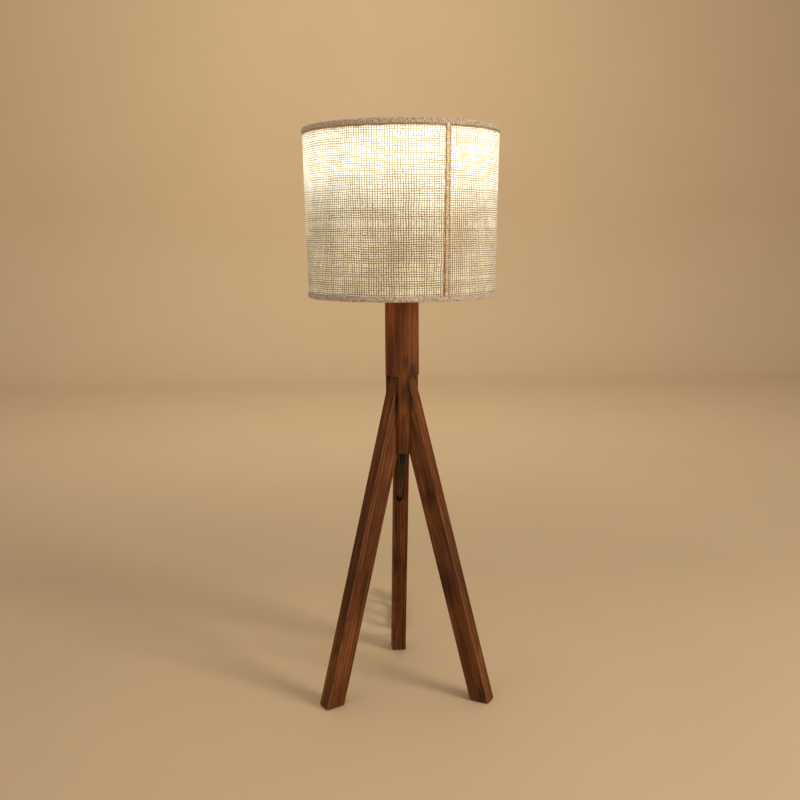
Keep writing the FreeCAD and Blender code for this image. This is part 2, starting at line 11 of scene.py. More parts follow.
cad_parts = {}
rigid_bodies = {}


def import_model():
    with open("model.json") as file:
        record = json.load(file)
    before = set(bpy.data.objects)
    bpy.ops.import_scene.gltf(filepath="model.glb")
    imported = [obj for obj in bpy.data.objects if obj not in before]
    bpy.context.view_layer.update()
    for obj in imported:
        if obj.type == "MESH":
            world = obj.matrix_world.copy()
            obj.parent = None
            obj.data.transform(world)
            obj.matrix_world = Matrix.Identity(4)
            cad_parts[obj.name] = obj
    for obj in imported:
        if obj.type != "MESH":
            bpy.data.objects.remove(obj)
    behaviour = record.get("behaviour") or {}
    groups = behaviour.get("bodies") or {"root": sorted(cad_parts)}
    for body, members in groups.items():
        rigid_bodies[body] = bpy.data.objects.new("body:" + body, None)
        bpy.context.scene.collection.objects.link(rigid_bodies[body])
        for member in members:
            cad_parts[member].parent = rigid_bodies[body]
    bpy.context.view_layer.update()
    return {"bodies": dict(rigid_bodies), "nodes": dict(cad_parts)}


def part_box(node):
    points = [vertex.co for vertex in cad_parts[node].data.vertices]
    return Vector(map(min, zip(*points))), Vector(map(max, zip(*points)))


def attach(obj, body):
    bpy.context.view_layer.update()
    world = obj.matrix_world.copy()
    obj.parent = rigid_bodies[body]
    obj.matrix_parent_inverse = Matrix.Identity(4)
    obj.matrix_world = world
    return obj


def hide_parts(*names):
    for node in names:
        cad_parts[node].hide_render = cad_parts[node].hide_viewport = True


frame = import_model()
NODES = frame["nodes"]

# Sizes that several pieces share, measured from the frame
CLOTH_LOW, CLOTH_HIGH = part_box("shade_cloth")
SHADE_BOTTOM = CLOTH_LOW.z
SHADE_TOP = CLOTH_HIGH.z
SHADE_R_TOP = CLOTH_HIGH.x
SHADE_R_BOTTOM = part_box("shade_hem_bottom")[1].x - 0.0008
CLOTH_T = 0.001               # thickness of the cloth


def put(name, data):
    """A new object that holds the data, in the scene."""
    made = bpy.data.objects.new(name, data)
    bpy.context.scene.collection.objects.link(made)
    return made


def put_mesh(name, mesh):
    """A new smooth-shaded object made from a bmesh."""
    data = bpy.data.meshes.new(name)
    mesh.to_mesh(data)
    mesh.free()
    data.polygons.foreach_set("use_smooth", [True] * len(data.polygons))
    return put(name, data)


def shade_r(z):
    """Outer radius of the shade's cloth at a height."""
    share = (z - SHADE_BOTTOM) / (SHADE_TOP - SHADE_BOTTOM)
    return SHADE_R_BOTTOM + (SHADE_R_TOP - SHADE_R_BOTTOM) * share


# ---------------------------------------------------------------- camera
def make_camera():
    """A camera 1.5 m in front of the lamp, a little left of it and above its middle, looking down."""
    distance = 1.501
    height = 0.752
    around = math.radians(4.14)      # how far left of the lamp's front the camera stands
    down = math.radians(9.9)
    yaw = math.radians(-0.145)
    roll = math.radians(-0.38)
    turned = Matrix.Rotation(-around, 3, "Z")
    ahead = turned @ Vector((math.sin(yaw), math.cos(yaw), 0))
    right = turned @ Vector((math.cos(yaw), -math.sin(yaw), 0))
    up = Vector((0, 0, 1))
    forward = ahead * math.cos(down) - up * math.sin(down)
    upward = ahead * math.sin(down) + up * math.cos(down)
    side = right * math.cos(roll) + upward * math.sin(roll)
    top = upward * math.cos(roll) - right * math.sin(roll)
    data = bpy.data.cameras.new("camera")
    data.lens = 42.3
    data.sensor_width = 36.0
    data.clip_end = 50.0
    camera = put("camera", data)
    axes = Matrix((side, top, -forward)).transposed().to_4x4()
    place = turned @ Vector((0, -distance, 0)) + up * height
    camera.matrix_world = Matrix.Translation(place) @ axes
    bpy.context.scene.camera = camera


make_camera()


# ---------------------------------------------------------------- cord
CORD_D = 0.005
GLAND_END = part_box("cord_gland")[0].z
SPLAY = 0.267                 # how far a leg runs outwards for each metre down
FOOT_R = 0.1583               # where the outer face of a leg meets the floor


def behind(z, off):
    """A point off the back leg's outer face, at the height z."""
    return Vector((0, FOOT_R - SPLAY * z + off * math.sqrt(1 + SPLAY * SPLAY), z))


SWITCH_L = 0.058
SWITCH_H = 0.015
SWITCH_Z = 0.168              # height of its middle
SLOPE = Vector((0, SPLAY, -1)).normalized()
SWITCH_MIDDLE = behind(SWITCH_Z, SWITCH_H / 2 + 0.0004)
SWITCH_IN = SWITCH_MIDDLE - SLOPE * (SWITCH_L / 2)
SWITCH_OUT = SWITCH_MIDDLE + SLOPE * (SWITCH_L / 2)
BEND_IN = 0.016 * math.sqrt(1 + SPLAY * SPLAY)      # straight run at each end of the switch

# The slanting hole through the back leg
HOLE_SIDE = 0.003             # how far it is left of the leg's middle
HOLE_Z = 0.314                # height where it starts, on the leg's inner face
HOLE_FALL = math.radians(35.0)
LEG_DEPTH = 0.0324            # the leg's size across, measured level
HOLE_OUT = LEG_DEPTH / (math.cos(HOLE_FALL) - SPLAY * math.sin(HOLE_FALL))


def hole_point(along):
    """A point on the hole's axis, along it from the leg's inner face."""
    start = Vector((-HOLE_SIDE, FOOT_R - SPLAY * HOLE_Z - LEG_DEPTH, HOLE_Z))
    return start + Vector((0, math.cos(HOLE_FALL), -math.sin(HOLE_FALL))) * along


# From the gland into the hole, out on the leg's outer face and down it to the switch
LEAD = [
    Vector((0, 0, GLAND_END)),
    Vector((-0.0006, 0.0006, GLAND_END - 0.017)),
    Vector((-0.0026, 0.009, GLAND_END - 0.036)),
    hole_point(-0.014),
    hole_point(HOLE_OUT + 0.014),
    behind(0.254, 0.009) + Vector((-0.0016, 0, 0)),
    SWITCH_IN - SLOPE * BEND_IN,
]
# From the switch to the floor behind the foot, up to the hank
TAIL = [
    SWITCH_OUT + SLOPE * BEND_IN,
    Vector((0.0015, 0.136, 0.092)),
    Vector((0.0020, 0.146, 0.058)),
    Vector((0.0022, 0.157, 0.030)),
    Vector((0.0026, 0.172, 0.011)),
    Vector((0.0034, 0.190, 0.0036)),
    Vector((0.0052, 0.209, 0.0030)),
]

HANK_AT = Vector((0.0052, 0.209, 0))
HANK_LINE = Vector((0.0665, 1, 0)).normalized()
HANK_SIDE = Vector((1, -0.0665, 0)).normalized()
HANK_LONG = 0.124
HANK_HIGH = 0.046
HANK_PITCH = 0.0052           # from one turn to the next
PLUG_START = HANK_LONG + 0.021
PLUG_MIDDLE = 0.017


def hank_point(along, side, z):
    return HANK_AT + HANK_LINE * along + HANK_SIDE * side + Vector((0, 0, z))


def hank_turns():
    """Control points of the put-away turns: three outer ones side by side, and one inside them."""
    points = []
    turns = [(-1.5, 0), (-1.0, 1), (-0.5, 0), (0.5, 0)]
    ends = turns[1:] + [(1.5, 0)]
    r_outer = HANK_HIGH / 2 - CORD_D / 2 - 0.0003
    middle = 0.0002 + HANK_HIGH / 2
    steps = 8
    wide = 1 / math.cos(math.pi / (2 * steps))     # lets the curve reach the fold's true width
    reach = HANK_LONG - 0.0005 - CORD_D / 2
    near = CORD_D / 2 + r_outer + 0.0005
    for (column, layer), (next_column, next_layer) in zip(turns, ends):
        r = r_outer - layer * HANK_PITCH
        next_r = r_outer - next_layer * HANK_PITCH
        side = column * HANK_PITCH
        next_side = next_column * HANK_PITCH
        far = reach - r - layer * HANK_PITCH
        points.append(hank_point(near + 0.2 * (far - near), side, middle - r))
        points.append(hank_point(far - 0.1 * (far - near), side, middle - r))
        for k in range(1, steps):
            a = math.pi * k / steps - math.pi / 2
            points.append(hank_point(far + r * wide * math.cos(a), side, middle + r * math.sin(a)))
        points.append(hank_point(far - 0.1 * (far - near), side, middle + r))
        points.append(hank_point(near + 0.1 * (far - near), next_side, middle + next_r))
        for k in range(1, steps):
            a = math.pi * k / steps + math.pi / 2
            x = near + next_r * wide * math.cos(a)
            points.append(hank_point(x, next_side, middle + next_r * math.sin(a)))
    last = 1.5 * HANK_PITCH
    low = CORD_D / 2 + 0.0004
    into_plug = [
        (0.045, last, low),
        (0.085, last, low + 0.0008),
        (0.108, last * 0.7, low + 0.004),
        (0.122, last * 0.25, PLUG_MIDDLE - 0.003),
        (0.132, 0, PLUG_MIDDLE),
        (PLUG_START - 0.002, 0, PLUG_MIDDLE),
    ]
    return points + [hank_point(*place) for place in into_plug]


def make_cord():
    route = LEAD + [SWITCH_IN, SWITCH_OUT] + TAIL + hank_turns()
    curve = bpy.data.curves.new("cord", "CURVE")
    curve.dimensions = "3D"
    curve.bevel_depth = 1.0       # times each point's radius
    curve.bevel_resolution = 5
    curve.use_fill_caps = True
    spline = curve.splines.new("NURBS")
    spline.points.add(len(route) - 1)
    for point, place in zip(spline.points, route):
        point.co = (*place, 1)
        point.radius = CORD_D / 2
    spline.order_u = 3
    spline.use_endpoint_u = True
    spline.resolution_u = 10
    cord = put("cord", curve)
    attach(cord, "stand")
    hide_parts("cord_lead", "cord_tail", "cord_hank")
    return cord


cord = make_cord()


# ---------------------------------------------------------------- shader helpers
class Shader:
    """A material being made, with short ways to add its nodes."""

    def __init__(self, name):
        self.material = bpy.data.materials.new(name)
        self.material.use_nodes = True
        self.tree = self.material.node_tree
        self.tree.nodes.clear()

    def feed(self, socket, value):
        if isinstance(value, bpy.types.NodeSocket):
            self.tree.links.new(value, socket)
        else:
            socket.default_value = value

    def node(self, kind, inputs=None, **settings):
        made = self.tree.nodes.new("ShaderNode" + kind)
        for key, value in settings.items():
            setattr(made, key, value)
        for key, value in (inputs or {}).items():
            self.feed(made.inputs[key], value)
        return made

    def calc(self, operation, *values):
        made = self.node("Math", operation=operation)
        for socket, value in zip(made.inputs, values):
            self.feed(socket, value)
        return made.outputs[0]

    def place(self):
        """The piece's own coordinates, which stay with it when it moves."""
        return self.node("TexCoord").outputs["Object"]

    def axes(self, where):
        return self.node("SeparateXYZ", {"Vector": where}).outputs

    def mapped(self, where, scale=(1, 1, 1), turn=(0, 0, 0), shift=(0, 0, 0)):
        inputs = {"Vector": where, "Scale": scale, "Rotation": turn, "Location": shift}
        return self.node("Mapping", inputs).outputs[0]

    def noise(self, where, scale, detail=2.0, rough=0.5):
        inputs = {"Vector": where, "Scale": scale, "Detail": detail, "Roughness": rough}
        return self.node("TexNoise", inputs).outputs[0]

    def chance(self, value):
        """A number from 0 to 1 that is random for each whole value."""
        return self.node("TexWhiteNoise", {"W": value}, noise_dimensions="1D").outputs["Value"]

    def between(self, value, low, high, start=0.0, end=1.0):
        """value from low to high, eased, as start to end."""
        inputs = {"Value": value, "From Min": low, "From Max": high, "To Min": start, "To Max": end}
        return self.node("MapRange", inputs, interpolation_type="SMOOTHSTEP").outputs[0]

    def ramp(self, value, *stops):
        made = self.node("ValToRGB", {"Fac": value})
        points = made.color_ramp.elements
        while len(points) < len(stops):
            points.new(0.5)
        for point, (at, colour) in zip(points, stops):
            point.position = at
            point.color = (*colour, 1)
        return made.outputs[0]

    def mix(self, share, a, b):
        made = self.node("Mix", data_type="RGBA")
        for index, value in ((0, share), (6, a), (7, b)):
            if isinstance(value, tuple):
                value = (*value, 1)
            self.feed(made.inputs[index], value)
        return made.outputs[2]

    def surface(self, bump=None, depth=0.0002, **inputs):
        """The shader itself. inputs are its sockets, with _ for each space."""
        named = {}
        for key, value in inputs.items():
            if isinstance(value, tuple):
                value = (*value, 1)
            named[key.replace("_", " ")] = value
        if bump is not None:
            settings = {"Height": bump, "Distance": depth, "Strength": 1.0}
            named["Normal"] = self.node("Bump", settings).outputs[0]
        shader = self.node("BsdfPrincipled", named)
        out = self.node("OutputMaterial", {"Surface": shader.outputs[0]})
        out.is_active_output = True
        return self.material


def cover(node, material):
    """Give a CAD node a new material."""
    slots = NODES[node].data.materials
    slots.clear()
    slots.append(material)


# ---------------------------------------------------------------- wood
WOOD_DARK = (0.024, 0.0055, 0.0010)
WOOD_MIDDLE = (0.110, 0.0300, 0.0045)
WOOD_LIGHT = (0.275, 0.090, 0.0170)
RINGS_PER_M = 230.0           # growth rings in a metre


def wood(name, axes, centre, half_sizes=None, heart=(0.055, -0.035), light=0.0):
    """Stained hardwood: growth rings cut lengthways, streaks, pores, and paler rubbed edges.

    axes has the piece's own directions as rows, the last one along the grain. centre is the point
    that they start from. half_sizes are half the bar's thickness and width, for its rubbed edges.
    """
    s = Shader(name)
    turn = axes.to_euler("XYZ")
    own = s.mapped(s.place(), turn=tuple(turn), shift=tuple(-(axes @ centre)))
    x, y, z = s.axes(own)

    slow = s.mapped(own, scale=(1, 1, 0.10))
    wander = s.noise(slow, 26.0, 3.0, 0.55)
    from_heart = s.calc("SQRT", s.calc("ADD",
                        s.calc("POWER", s.calc("SUBTRACT", x, heart[0]), 2.0),
                        s.calc("POWER", s.calc("SUBTRACT", y, heart[1]), 2.0)))
    rings = s.calc("ADD", s.calc("MULTIPLY", from_heart, RINGS_PER_M), s.calc("MULTIPLY", wander, 5.0))
    tooth = s.calc("FRACT", rings)
    ring = s.calc("MULTIPLY", s.between(tooth, 0.0, 0.72), s.between(tooth, 1.0, 0.86))
    streak = s.noise(s.mapped(own, scale=(1, 1, 0.018)), 640.0, 4.0, 0.62)
    broad = s.noise(s.mapped(own, scale=(1, 1, 0.07)), 75.0, 3.0, 0.5)
    cloud = s.noise(s.mapped(own, scale=(1, 1, 0.55)), 13.0, 2.0, 0.5)
    stain = s.between(s.noise(s.mapped(own, scale=(1, 1, 0.4)), 17.0, 3.0, 0.6), 0.52, 0.70)
    pores = s.between(s.noise(s.mapped(own, scale=(1, 1, 0.035)), 1500.0, 1.0, 0.4), 0.60, 0.72)

    tone = s.calc("ADD", s.calc("MULTIPLY", ring, -0.12), s.calc("MULTIPLY", streak, 0.62))
    tone = s.calc("ADD", tone, s.calc("MULTIPLY", broad, 0.60))
    tone = s.calc("ADD", tone, s.calc("MULTIPLY", cloud, 0.58))
    tone = s.calc("SUBTRACT", tone, s.calc("MULTIPLY", stain, 0.34))
    tone = s.calc("ADD", tone, light - 0.32)
    colour = s.ramp(tone, (0.26, WOOD_DARK), (0.50, WOOD_MIDDLE), (0.82, WOOD_LIGHT))
    colour = s.mix(s.calc("MULTIPLY", pores, 0.55), colour, (0.018, 0.006, 0.003))
    if half_sizes:
        thick, wide = half_sizes
        edge_x = s.between(s.calc("ABSOLUTE", x), thick - 0.0018, thick - 0.0002)
        edge_y = s.between(s.calc("ABSOLUTE", y), wide - 0.0018, wide - 0.0002)
        worn = s.between(s.noise(s.mapped(own, scale=(1, 1, 0.3)), 60.0, 3.0, 0.6), 0.30, 0.62)
        edge = s.calc("MULTIPLY", s.calc("MULTIPLY", edge_x, edge_y), worn)
        colour = s.mix(s.calc("MULTIPLY", edge, 0.5), colour, (0.34, 0.14, 0.050))
    sheen = s.calc("ADD", 0.44, s.calc("MULTIPLY", streak, 0.22))
    rough = s.calc("ADD", sheen, s.calc("MULTIPLY", pores, 0.2))
    height = s.calc("ADD", s.calc("MULTIPLY", streak, 0.6), s.calc("MULTIPLY", ring, 0.25))
    height = s.calc("SUBTRACT", height, pores)
    return s.surface(height, 0.00016, Base_Color=colour, Roughness=rough, Specular_IOR_Level=0.17)


LEG_ANGLES = {"leg_front_left": 210.0, "leg_front_right": 330.0, "leg_back": 90.0}
LEG_W = 0.025


def finish_wood():
    upright = Matrix.Identity(3)
    cover("post", wood("post_wood", upright, Vector((0, 0, 0.5)), heart=(0.012, 0.062)))
    lean = math.atan(SPLAY)
    hearts = ((0.05, -0.03), (-0.045, -0.04), (0.035, 0.05))
    for (name, angle), heart in zip(LEG_ANGLES.items(), hearts):
        a = math.radians(angle)
        outward = Vector((math.cos(a), math.sin(a), 0))
        side = Vector((-math.sin(a), math.cos(a), 0))
        up = Vector((0, 0, 1))
        along = (up - outward * SPLAY).normalized()
        across = (outward + up * SPLAY).normalized()
        axes = Matrix((across, side, along))
        centre = outward * (FOOT_R - LEG_DEPTH / 2)
        sizes = (LEG_DEPTH / 2 * math.cos(lean), LEG_W / 2)
        cover(name, wood(name + "_wood", axes, centre, sizes, heart))
    cover("leg_dowels", wood("dowel_wood", upright, Vector((0, 0, 0.4)), light=0.35))


finish_wood()


# ---------------------------------------------------------------- plain materials
def plastic(name, colour, rough=0.45, grain=0.00003, scale=2400.0):
    """Moulded plastic with a fine spark-eroded grain and faint handling marks."""
    s = Shader(name)
    where = s.place()
    fine = s.noise(where, scale, 2.0, 0.6)
    marks = s.noise(where, 90.0, 4.0, 0.6)
    shade = s.mix(s.between(marks, 0.35, 0.75), tuple(0.85 * c for c in colour), colour)
    gloss = s.between(marks, 0.3, 0.7, rough - 0.07, rough + 0.09)
    return s.surface(fine, grain, Base_Color=shade, Roughness=gloss)


def metal(name, colour, rough=0.28, brushed=(1, 1, 0.05)):
    """Plated or drawn metal with fine lines and dull patches."""
    s = Shader(name)
    where = s.place()
    lines = s.noise(s.mapped(where, scale=brushed), 2600.0, 3.0, 0.6)
    dull = s.noise(where, 140.0, 3.0, 0.6)
    tint = s.mix(s.calc("MULTIPLY", dull, 0.5), colour, tuple(0.6 * c for c in colour))
    gloss = s.calc("ADD", s.between(dull, 0.3, 0.7, rough - 0.08, rough + 0.12),
                   s.calc("MULTIPLY", lines, 0.08))
    return s.surface(lines, 0.00002, Base_Color=tint, Roughness=gloss, Metallic=1.0)


def painted(name, colour):
    """Powder coat: a soft orange-peel skin on steel wire."""
    s = Shader(name)
    where = s.place()
    peel = s.noise(where, 900.0, 2.0, 0.5)
    dust = s.noise(where, 45.0, 3.0, 0.6)
    shade = s.mix(s.between(dust, 0.4, 0.8), colour, tuple(0.86 * c for c in colour))
    return s.surface(peel, 0.00004, Base_Color=shade, Roughness=s.between(dust, 0.2, 0.8, 0.36, 0.5))


def felt(name, colour):
    s = Shader(name)
    where = s.place()
    hair = s.noise(s.mapped(where, scale=(1, 1, 0.3)), 1700.0, 4.0, 0.75)
    lumps = s.noise(where, 300.0, 2.0, 0.5)
    shade = s.ramp(hair, (0.3, tuple(0.5 * c for c in colour)), (0.7, tuple(1.4 * c for c in colour)))
    height = s.calc("ADD", hair, lumps)
    return s.surface(height, 0.0003, Base_Color=shade, Roughness=0.95, Sheen_Weight=0.4)


def board():
    """LED board: white solder mask with yellow phosphor chips standing on it."""
    s = Shader("led_board")
    where = s.place()
    z = s.axes(where)[2]
    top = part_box("bulb_led_board")[1].z
    chip = s.between(z, top - 0.0006, top)
    grain = s.noise(where, 700.0, 2.0, 0.5)
    mask = s.mix(grain, (0.86, 0.86, 0.83), (0.74, 0.74, 0.72))
    shade = s.mix(chip, mask, (0.95, 0.72, 0.18))
    return s.surface(grain, 0.00003, Base_Color=shade, Roughness=0.4)


def finish_hardware():
    black = plastic("black_plastic", (0.017, 0.016, 0.015), 0.42)
    for node in ("cord_gland", "holder_cap", "holder_skirt", "shade_ring", "switch_base",
                 "switch_cover", "plug_body", "bulb_insulator", "hank_tie"):
        cover(node, black)
    cover("switch_rocker", plastic("rocker_plastic", (0.035, 0.034, 0.033), 0.25, 0.00001))
    white = plastic("white_plastic", (0.78, 0.77, 0.73), 0.35)
    for node in ("holder_core", "bulb_housing"):
        cover(node, white)
    zinc = metal("zinc_steel", (0.60, 0.60, 0.57), 0.34)
    for node in ("threaded_tube", "tube_washer", "tube_nut", "switch_pin"):
        cover(node, zinc)
    nickel = metal("nickel", (0.74, 0.71, 0.65), 0.2, (1, 1, 1))
    for node in ("holder_screw_shell", "bulb_cap", "plug_pins"):
        cover(node, nickel)
    brass = metal("brass", (0.78, 0.56, 0.22), 0.25, (1, 1, 1))
    for node in ("holder_centre_contact", "bulb_tip_contact"):
        cover(node, brass)
    wire = painted("white_steel", (0.80, 0.79, 0.74))
    for node in ("shade_bottom_ring", "shade_top_ring", "shade_fitter"):
        cover(node, wire)
    cover("foot_pads", felt("felt", (0.11, 0.09, 0.075)))
    cover("bulb_led_board", board())
    pvc = plastic("cord_pvc", (0.014, 0.014, 0.014), 0.38, 0.00002, 1500.0)
    cover("cord_inside", pvc)
    cord.data.materials.append(pvc)


finish_hardware()


# ---------------------------------------------------------------- light from the bulb
GLOW_Z = 0.880                # where the shade is brightest
GLOW_R = 0.150                # how far the light falls to the cloth


def lit_share(s, z, radius):
    """How much light falls on the shade at a height: about 1 at GLOW_Z, and less away from it."""
    rise = s.calc("DIVIDE", s.calc("SUBTRACT", z, GLOW_Z), radius)
    spread = s.calc("ADD", 1.0, s.calc("MULTIPLY", rise, rise))
    wide = s.calc("MULTIPLY", s.calc("POWER", spread, -0.7), 0.50)
    core = s.calc("MULTIPLY", s.calc("POWER", spread, -7.0), 0.30)
    return s.calc("ADD", s.calc("ADD", wide, core), 0.24)


def opal():
    """The lit diffuser: warm white, a little dimmer towards its rim."""
    s = Shader("opal")
    where = s.place()
    z = s.axes(where)[2]
    low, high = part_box("bulb_diffuser")
    share = s.between(z, low.z, high.z)
    haze = s.noise(where, 60.0, 2.0, 0.5)
    power = s.calc("MULTIPLY", s.between(share, 0.0, 0.6, 2.2, 4.0), s.between(haze, 0, 1, 0.92, 1.05))
    tint = s.mix(share, (1.0, 0.80, 0.52), (1.0, 0.90, 0.72))
    return s.surface(haze, 0.00002, Base_Color=(0.9, 0.88, 0.82), Roughness=0.5,
                     Emission_Color=tint, Emission_Strength=power)


def liner():
    """Stiff translucent sheet inside the cloth, lit through by the bulb."""
    s = Shader("shade_liner")
    where = s.place()
    z = s.axes(where)[2]
    cloudy = s.noise(where, 30.0, 3.0, 0.6)
    fibre = s.noise(s.mapped(where, scale=(1, 1, 0.3)), 500.0, 3.0, 0.6)
    power = s.calc("MULTIPLY", lit_share(s, z, SHADE_R_TOP), s.between(cloudy, 0.2, 0.8, 0.30, 0.42))
    shade = s.mix(fibre, (0.86, 0.79, 0.64), (0.78, 0.69, 0.52))
    return s.surface(fibre, 0.00005, Base_Color=shade, Roughness=0.55,
                     Emission_Color=(1.0, 0.84, 0.58), Emission_Strength=power)


cover("bulb_diffuser", opal())
cover("shade_liner", liner())


# ---------------------------------------------------------------- shade cloth
WARPS = 253                   # upright threads round the shade
WEFT_PITCH = 0.00324          # height of one crosswise thread


def thread(s, along, index, where, thin, spread):
    """How far a thread covers its cell, 0 to 1: each thread has its own width, and thickens in slubs."""
    own = s.chance(index)
    coarse = s.noise(where, 42.0, 3.0, 0.65)
    half = s.calc("ADD", thin, s.calc("MULTIPLY", own, spread))
    half = s.calc("ADD", half, s.calc("MULTIPLY", s.calc("SUBTRACT", coarse, 0.5), 0.30))
    off = s.calc("ABSOLUTE", s.calc("SUBTRACT", s.calc("FRACT", along), 0.5))
    inside = s.calc("SUBTRACT", half, off)
    return s.between(inside, -0.08, 0.08), s.between(inside, 0.0, 0.2)


def weave(s):
    """The plain weave at each point of the cloth.

    Gives the gap's share, where two threads cross, the crown's height, the thread's tone, the height
    on the shade, and the place itself.
    """
    where = s.place()
    x, y, z = s.axes(where)
    wander = s.noise(where, 30.0, 2.0, 0.5)
    jitter = s.noise(where, 190.0, 2.0, 0.5)
    round_it = s.calc("MULTIPLY", s.calc("ARCTAN2", y, x), WARPS / math.tau)
    across = s.calc("ADD", round_it, s.calc("MULTIPLY", wander, 1.1))
    across = s.calc("ADD", across, s.calc("MULTIPLY", jitter, 0.38))
    upward = s.calc("ADD", s.calc("DIVIDE", z, WEFT_PITCH), s.calc("MULTIPLY", wander, -1.2))
    upward = s.calc("ADD", upward, s.calc("MULTIPLY", jitter, -0.42))
    warp_index = s.calc("FLOOR", across)
    weft_index = s.calc("ADD", s.calc("FLOOR", upward), 0.37)
    tall = s.mapped(where, scale=(1, 1, 0.12))
    flat = s.mapped(where, scale=(0.25, 0.25, 1.6))
    warp, warp_crown = thread(s, across, warp_index, tall, 0.10, 0.22)
    weft, weft_crown = thread(s, upward, weft_index, flat, 0.09, 0.21)
    over = s.calc("PINGPONG", s.calc("ADD", s.calc("FLOOR", across), s.calc("FLOOR", upward)), 1.0)
    warp_high = s.calc("MULTIPLY", warp_crown, s.calc("ADD", 0.45, s.calc("MULTIPLY", over, 0.55)))
    weft_high = s.calc("MULTIPLY", weft_crown, s.calc("SUBTRACT", 1.0, s.calc("MULTIPLY", over, 0.55)))
    closed = s.calc("MAXIMUM", warp, weft)
    double = s.calc("MULTIPLY", warp, weft)
    crown = s.calc("MAXIMUM", warp_high, weft_high)
    tone = s.calc("ADD", s.calc("MULTIPLY", s.chance(warp_index), 0.45),
                  s.calc("MULTIPLY", s.chance(weft_index), 0.30))
    fuzz = s.noise(where, 520.0, 3.0, 0.7)
    tone = s.calc("ADD", tone, s.calc("MULTIPLY", s.calc("SUBTRACT", fuzz, 0.25), 0.9))
    cell = s.chance(s.calc("ADD", s.calc("MULTIPLY", warp_index, 7.13),
                           s.calc("MULTIPLY", weft_index, 3.71)))
    clear = s.calc("ADD", 0.72, s.calc("MULTIPLY", cell, 0.5))
    open_share = s.calc("MULTIPLY", s.calc("SUBTRACT", 1.0, closed), clear)
    return open_share, double, crown, tone, z, where


def jute():
    """Coarse open weave over the liner. The gaps let the light through, and the threads glow amber."""
    s = Shader("jute")
    gap, double, crown, tone, z, where = weave(s)
    thread_colour = s.ramp(tone, (0.15, (0.085, 0.046, 0.018)), (0.55, (0.19, 0.115, 0.052)),
                           (0.95, (0.36, 0.25, 0.135)))
    base = s.mix(gap, thread_colour, (0.44, 0.37, 0.25))
    lit = lit_share(s, z, GLOW_R)
    patch = s.between(s.noise(where, 14.0, 3.0, 0.6), 0.25, 0.75, 0.86, 1.12)
    lit = s.calc("MULTIPLY", lit, patch)
    through_gap = s.calc("MULTIPLY", gap, 0.94)
    bare = s.between(lit, 0.20, 1.30, 0.10, 0.75)
    bare = s.calc("MULTIPLY", bare, s.between(tone, 0.1, 0.9, 0.45, 1.5))
    through_thread = s.calc("MULTIPLY", bare, s.calc("SUBTRACT", 1.0, s.calc("MULTIPLY", double, 0.7)))
    power = s.calc("MULTIPLY", lit, s.calc("ADD", through_gap, through_thread))
    hot = s.between(lit, 0.25, 0.98)
    pale = s.mix(hot, (1.0, 0.82, 0.45), (1.0, 0.985, 0.86))
    amber = s.mix(hot, (0.80, 0.50, 0.17), (1.0, 0.92, 0.58))
    glow = s.mix(gap, amber, pale)
    # Painted shade: just under the top hem the cloth lies double, so the painted glow is dimmer and more
    # orange there, with a ragged lower edge
    ragged = s.calc("ADD", z, s.calc("MULTIPLY", s.noise(where, 130.0, 2.0, 0.6), 0.005))
    dim_glow_under_hem = s.between(ragged, SHADE_TOP - 0.0095, SHADE_TOP - 0.0065)
    glow = s.mix(dim_glow_under_hem, glow, (0.85, 0.42, 0.13))
    power = s.calc("MULTIPLY", power, s.calc("SUBTRACT", 1.0, s.calc("MULTIPLY", dim_glow_under_hem, 0.55)))
    return s.surface(crown, 0.0007, Base_Color=base, Roughness=0.9, Sheen_Weight=0.25,
                     Emission_Color=glow, Emission_Strength=power)


def tape(name, dark, light, glow, middle=None):
    """Hem and seam tape: the same yarn, closely woven and folded double, so little light passes.

    With middle, the angle of an upright strip, its two edges are darker.
    """
    s = Shader(name)
    where = s.place()
    x, y, z = s.axes(where)
    turn = s.calc("ARCTAN2", y, x)
    jitter = s.noise(where, 260.0, 3.0, 0.6)
    across = s.calc("ADD", s.calc("MULTIPLY", turn, WARPS / math.tau), s.calc("MULTIPLY", jitter, 1.5))
    upward = s.calc("ADD", s.calc("DIVIDE", z, 0.8 * WEFT_PITCH), s.calc("MULTIPLY", jitter, 1.5))
    ribs = s.calc("MULTIPLY", s.calc("SINE", s.calc("MULTIPLY", across, math.tau)),
                  s.calc("SINE", s.calc("MULTIPLY", upward, math.tau)))
    fuzz = s.noise(where, 330.0, 4.0, 0.8)
    tone = s.calc("ADD", s.calc("MULTIPLY", s.calc("ADD", ribs, 1.0), 0.15), s.calc("MULTIPLY", fuzz, 1.6))
    tone = s.calc("SUBTRACT", tone, 0.45)
    if middle is not None:
        off = s.calc("ABSOLUTE", s.calc("SUBTRACT", turn, middle - math.tau))
        tone = s.calc("SUBTRACT", tone, s.between(off, 0.010, 0.022, 0.0, 0.45))
    colour = s.ramp(tone, (0.22, dark), (0.80, light))
    power = s.calc("MULTIPLY", lit_share(s, z, GLOW_R), s.between(tone, 0.1, 0.9, 0.35 * glow, 1.5 * glow))
    height = s.calc("ADD", s.calc("MULTIPLY", ribs, 0.6), fuzz)
    return s.surface(height, 0.0005, Base_Color=colour, Roughness=0.95, Sheen_Weight=0.3,
                     Emission_Color=(1.0, 0.66, 0.33), Emission_Strength=power)


def uneven(angle, z, size, seed=0.0):
    """A small smooth irregularity that closes on itself round the shade."""
    total = 0.0
    for k, (waves, turns) in enumerate(((3, 31.0), (7, 47.0), (13, 83.0), (29, 140.0))):
        total += math.sin(waves * angle + turns * z + seed + 1.7 * k) / (1.0 + 0.5 * k)
    return size * total / 2.0


